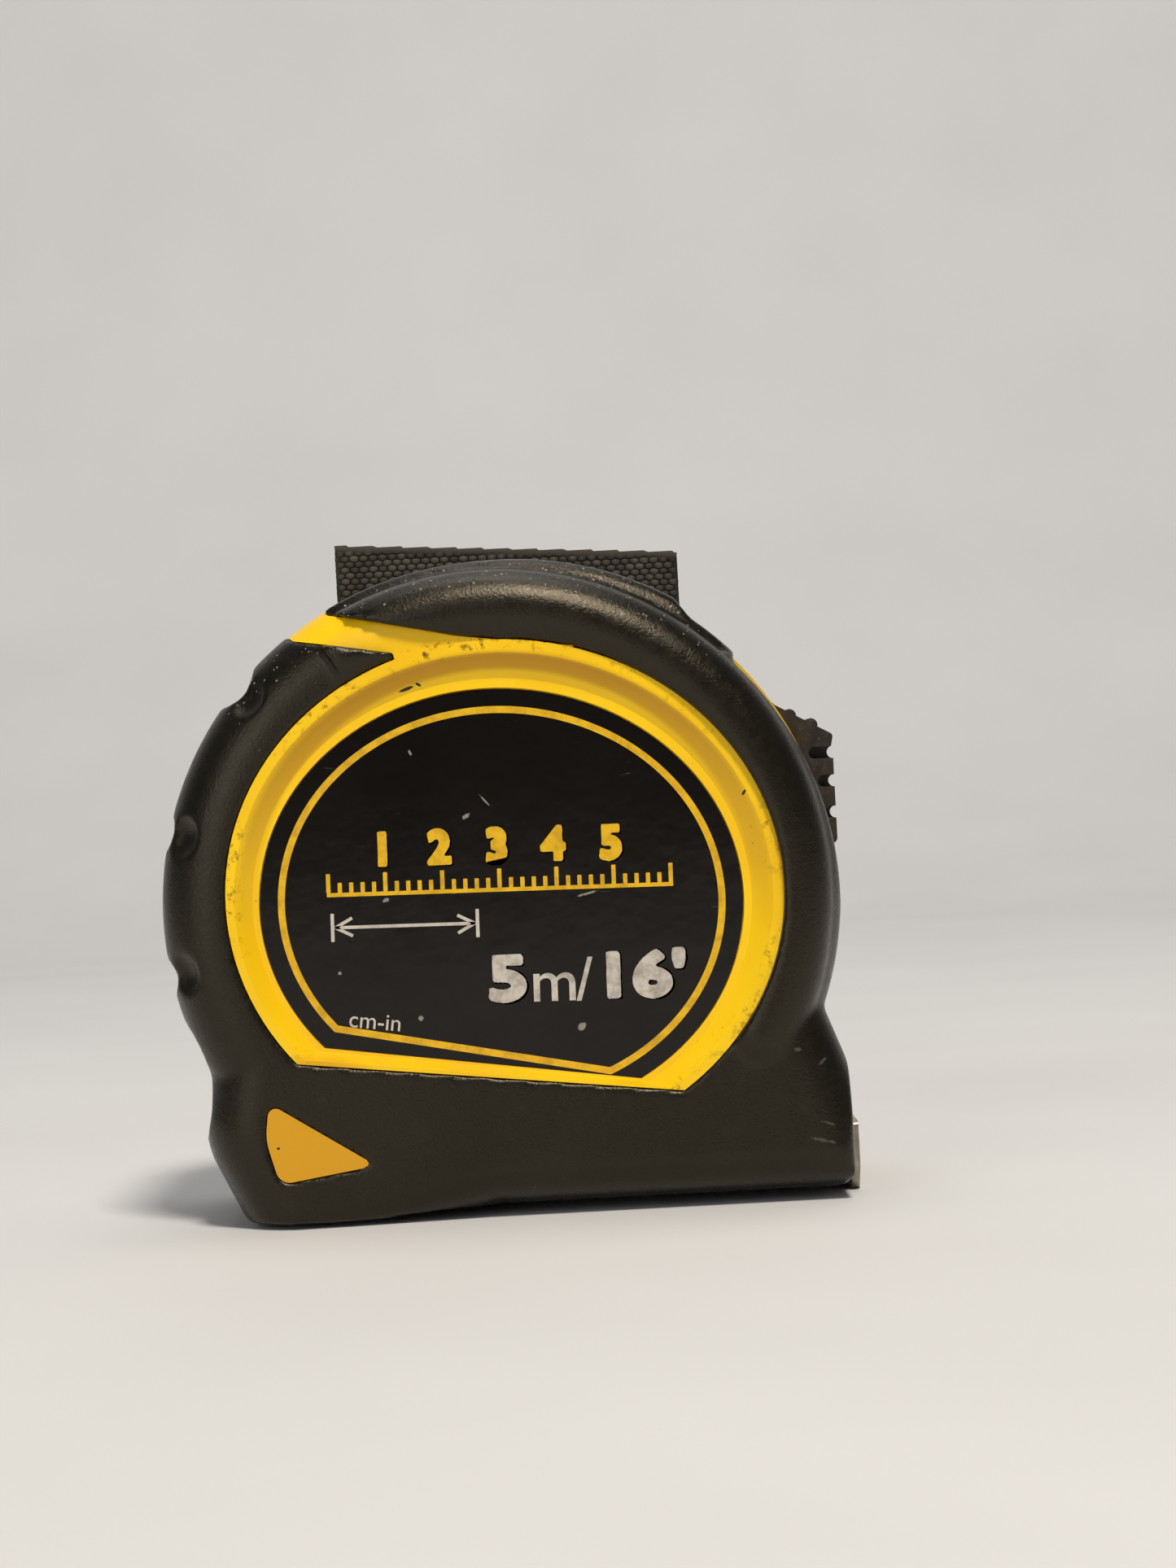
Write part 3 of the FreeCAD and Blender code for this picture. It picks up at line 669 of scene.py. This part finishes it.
def labelRuler():
    # a drawn length of rule: yellow line, ticks and figures
    r = rulerGraphic
    width = r["right"] - r["left"]
    lean = math.tan(math.radians(labelPrint["lineTilt"]))
    marks = [inkBar("line", 0, r["low"] + r["line"] / 2, width, r["line"], yellowInk)]
    for i in range(r["ticks"] + 1):
        x = r["left"] + 0.2 + (width - 0.4) * i / r["ticks"]
        tall = r["tall"] if i % 5 == 0 else r["short"]
        z = r["low"] + r["line"] + tall / 2 + x * lean
        marks.append(inkBar("tick", x, z, r["tickWidth"], tall, yellowInk))
    for i in range(1, 6):
        x = r["left"] + (width - 0.4) * 5 * i / r["ticks"] - 1.05
        z = r["low"] + r["figureRise"] + x * lean
        marks.append(heavyInk("figure" + str(i), str(i), x, z, r["figures"], yellowInk, r["heavy"]))
    joined("labelRuler", marks, "case")


labelRuler()


arrowGraphic = {"height": -2.1, "middle": -9.6, "long": 13.6, "line": 0.32, "stops": (-16.8, -2.4),
                "stopWidth": 0.34, "stopTall": 2.8, "tips": ((-16.5, 1), (-2.7, -1)),
                "barbAngle": 28, "barbShift": 0.8, "barbLong": 2.0}


def labelArrow():
    # light grey dimension arrow under the rule
    a = arrowGraphic
    lean = math.tan(math.radians(labelPrint["lineTilt"]))
    parts = [inkBar("shaft", a["middle"], a["height"] + a["middle"] * lean, a["long"], a["line"], greyInk)]
    for x in a["stops"]:
        parts.append(inkBar("stop", x, a["height"] + x * lean, a["stopWidth"], a["stopTall"], greyInk))
    for x, side in a["tips"]:
        for turn in (a["barbAngle"], -a["barbAngle"]):
            z = a["height"] + x * lean + math.tan(math.radians(turn)) * a["barbShift"]
            parts.append(inkBar("barb", x + side * a["barbShift"], z, a["barbLong"], a["line"], greyInk,
                                side * turn))
    joined("labelArrow", parts, "case")


labelArrow()


def labelSize():
    # length of the blade, in silver figures
    parts = [heavyInk("five", "5", -1.75, -9.9, 4.3, silverInk, 0.17, 1.35),
             inkText("metre", "m", 2.45, -10.1, 4.3, silverInk, 0.03, 1.05),
             inkText("slash", "/", 7.0, -10.2, 4.4, silverInk, 0.03, 1.0),
             heavyInk("sixteen", "16'", 8.8, -10.15, 4.3, silverInk, 0.17, 1.3)]
    joined("labelSize", parts, "case")
    small = inkText("labelUnits", "cm-in", -15.8, -11.65, 1.7, greyInk, 0.0, 1.0, tilt=-8.0)
    joined("labelUnits", [small], "case")


labelSize()
print("label printed")


strap = {"pitchAcross": 1.04, "pitchUp": 0.62, "relief": 0.085, "thick": 1.15, "selvage": 0.7,
         "paleTopBand": 0.7, "flatTop": 0.4}


def webbingStrap():
    # grid whose points are pushed into a staggered weave, cut on the slant, then thickened
    low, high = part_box("webbing_strap")
    deselectAll()
    width, length = high.x - low.x, high.z - low.z
    across = round(width / mm / strap["pitchAcross"])
    upward = round(length / mm / strap["pitchUp"])
    columns, rows = across * 4, upward * 3
    middle = ((low.x + high.x) / 2, (low.y + high.y) / 2, (low.z + high.z) / 2)
    bpy.ops.mesh.primitive_grid_add(x_subdivisions=columns, y_subdivisions=rows, size=1.0,
                                    location=middle, rotation=(math.radians(90), 0, 0))
    piece = startPiece("webbingStrap")
    piece.scale = (width, length, 1)
    settle(piece)
    weave = piece.data.attributes.new("weave", "FLOAT", "POINT")
    paleTopBand = piece.data.attributes.new("paleTopBand", "FLOAT", "POINT")
    slant = strapSlant()
    yarn = random.Random(4)
    loose = {}
    for i, vertex in enumerate(piece.data.vertices):
        column = round((vertex.co.x - low.x) / width * columns)
        row = round((vertex.co.z - low.z) / length * rows)
        course = row // 3
        phase = (column + 2 * (course % 2)) % 4
        crown = (column + 2 * (course % 2)) // 4
        height = (0.0, 0.75, 1.0, 0.75)[phase] if row % 3 else 0.0
        if (crown, course) not in loose:
            loose[(crown, course)] = yarn.uniform(0.7, 1.1)
        height *= loose[(crown, course)]
        toSide = min(column, columns - column) / columns * width / mm
        toTop = (high.z - vertex.co.z) / mm - (vertex.co.x - low.x) / mm * slant
        flat = max(0.0, min(1.0, toSide / strap["selvage"], (toTop - strap["flatTop"]) / strap["flatTop"]))
        height = height * flat + (1 - flat) * 0.5
        vertex.co.y -= (height - 0.5) * strap["relief"] * 2 * mm
        weave.data[i].value = height
        paleTopBand.data[i].value = max(0.0, min(1.0, 1 - toTop / strap["paleTopBand"])) ** 0.7
    activate(piece)
    bpy.ops.object.mode_set(mode="EDIT")
    bpy.ops.mesh.select_all(action="SELECT")
    bpy.ops.mesh.bisect(plane_co=(low.x, 0, high.z), plane_no=(slant, 0, 1), clear_outer=True)
    bpy.ops.object.mode_set(mode="OBJECT")
    applyModifier(piece, "SOLIDIFY", thickness=strap["thick"] * mm, offset=0.0)
    smooth(piece, 60)
    piece.data.materials.append(webbing)
    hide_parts("webbing_strap")
    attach(piece, "case")


def strapSlant():
    # fall of the cut top edge, from the CAD strap's own corners
    node = frame["nodes"]["webbing_strap"]
    top = [v.co for v in node.data.vertices]
    left = max(v.z for v in top if v.x < min(w.x for w in top) + 0.1 * mm)
    right = max(v.z for v in top if v.x > max(w.x for w in top) - 0.1 * mm)
    return (left - right) / (max(v.x for v in top) - min(v.x for v in top))


webbingStrap()
print("strap woven")


bladePrint = {"last": 2, "step": 10, "back": 4.5, "side": -2.0, "above": 0.32, "size": 5.0, "ink": 0.01}


def bladeFigures():
    # centimetre figures along the straight end of the blade
    b = bladePrint
    low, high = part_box("blade_lead")
    figures = []
    for i in range(1, b["last"] + 1):
        deselectAll()
        bpy.ops.object.text_add(location=(high.x - (b["step"] * i + b["back"]) * mm, b["side"] * mm,
                                          low.z + b["above"] * mm))
        figure = bpy.context.object
        figure.name = "bladeFigure" + str(i)
        figure.data.body = str(i)
        figure.data.size = b["size"] * mm
        figure.data.extrude = b["ink"] * mm
        activate(figure)
        bpy.ops.object.convert(target="MESH")
        figure = bpy.context.object
        settle(figure)
        figure.data.materials.clear()
        figure.data.materials.append(blackInk)
        figures.append(figure)
    joined("bladeFigures", figures, "blade")


bladeFigures()


rubberFinish = {"voxel": 0.42, "rounds": 3}


def softSkin(node, name):
    # the moulded skin with its creases eased, as rubber comes out of a mould
    piece = copyNode(node, name)
    applyModifier(piece, "REMESH", mode="VOXEL", voxel_size=rubberFinish["voxel"] * mm, adaptivity=0.0)
    applyModifier(piece, "SMOOTH", factor=0.5, iterations=rubberFinish["rounds"])
    activate(piece)
    bpy.ops.object.shade_smooth()
    piece.data.materials.clear()
    piece.data.materials.append(rubber)
    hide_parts(node)
    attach(piece, "case")
    print(name, "faces", len(piece.data.polygons))


softSkin("front_overmould", "frontOvermould")
softSkin("rear_overmould", "rearOvermould")


buttonFinish = {"bevel": 0.13, "segments": 2, "edgeAngle": 40}


def thumbButton():
    # the ribbed button with its moulded edges eased
    piece = copyNode("lock_button", "thumbButton")
    applyModifier(piece, "BEVEL", width=buttonFinish["bevel"] * mm, segments=buttonFinish["segments"],
                  limit_method="ANGLE", angle_limit=math.radians(buttonFinish["edgeAngle"]),
                  use_clamp_overlap=True)
    smooth(piece, 40)
    piece.data.materials.clear()
    piece.data.materials.append(nylonDark)
    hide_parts("lock_button")
    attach(piece, "lock")


thumbButton()


studio = {"sweepWidth": 3.0, "back": 0.9, "front": 1.2, "bend": 0.35, "height": 1.6}


def paperSweep():
    # floor that curves up behind
    floorZ = cadBox[0].z
    deselectAll()
    bpy.ops.mesh.primitive_plane_add(size=1.0, location=(0, -0.15, floorZ))
    sweep = startPiece("paperSweep")
    sweep.scale = (studio["sweepWidth"], studio["front"] + studio["back"], 1)
    settle(sweep)
    backEdge = max(v.co.y for v in sweep.data.vertices)

    def atBack(edge):
        return all(abs(sweep.data.vertices[i].co.y - backEdge) < 1e-6 for i in edge.vertices)

    def onFloor(edge):
        return all(abs(sweep.data.vertices[i].co.z - floorZ) < 1e-6 for i in edge.vertices)

    selectWhere(sweep, "edges", atBack)
    bpy.ops.mesh.extrude_region_move(TRANSFORM_OT_translate={"value": (0, 0, studio["height"])})
    bpy.ops.object.mode_set(mode="OBJECT")
    selectWhere(sweep, "edges", lambda edge: atBack(edge) and onFloor(edge))
    bpy.ops.mesh.bevel(offset=studio["bend"], segments=24, affect="EDGES")
    bpy.ops.object.mode_set(mode="OBJECT")
    smooth(sweep, 60)
    sweep.data.materials.append(paper)


paperSweep()

# name, place and target in metres, size in metres, watts, colour
lamps = [
    ("overheadBox", (0.20, -0.62, 1.02), (0.0, 0.0, 0.03), 0.22, 11.5, "#FFF6EA"),
    ("frontFill", (-0.60, -0.96, 0.40), (0.0, 0.0, 0.03), 0.70, 2.6, "#FFFFFF"),
    ("backdropBox", (0.0, 0.25, 1.1), (0.0, 0.9, 0.3), 0.60, 3.6, "#FFFFFF"),
]
air = {"colour": "#D8D8D8", "strength": 0.18}


def hangLamps():
    for name, place, target, size, watts, colour in lamps:
        bpy.ops.object.light_add(type="AREA", location=place)
        lamp = bpy.context.object
        lamp.name = name
        lamp.data.size = size
        lamp.data.energy = watts
        lamp.data.color = linearColour(colour)[:3]
        lamp.rotation_euler = (Vector(target) - Vector(place)).to_track_quat("-Z", "Y").to_euler()
    world = bpy.data.worlds.new("studioAir")
    bpy.context.scene.world = world
    world.use_nodes = True
    backdrop = world.node_tree.nodes["Background"]
    backdrop.inputs["Color"].default_value = linearColour(air["colour"])
    backdrop.inputs["Strength"].default_value = air["strength"]
    bpy.context.scene.view_settings.view_transform = "Standard"


hangLamps()
print("studio lit")
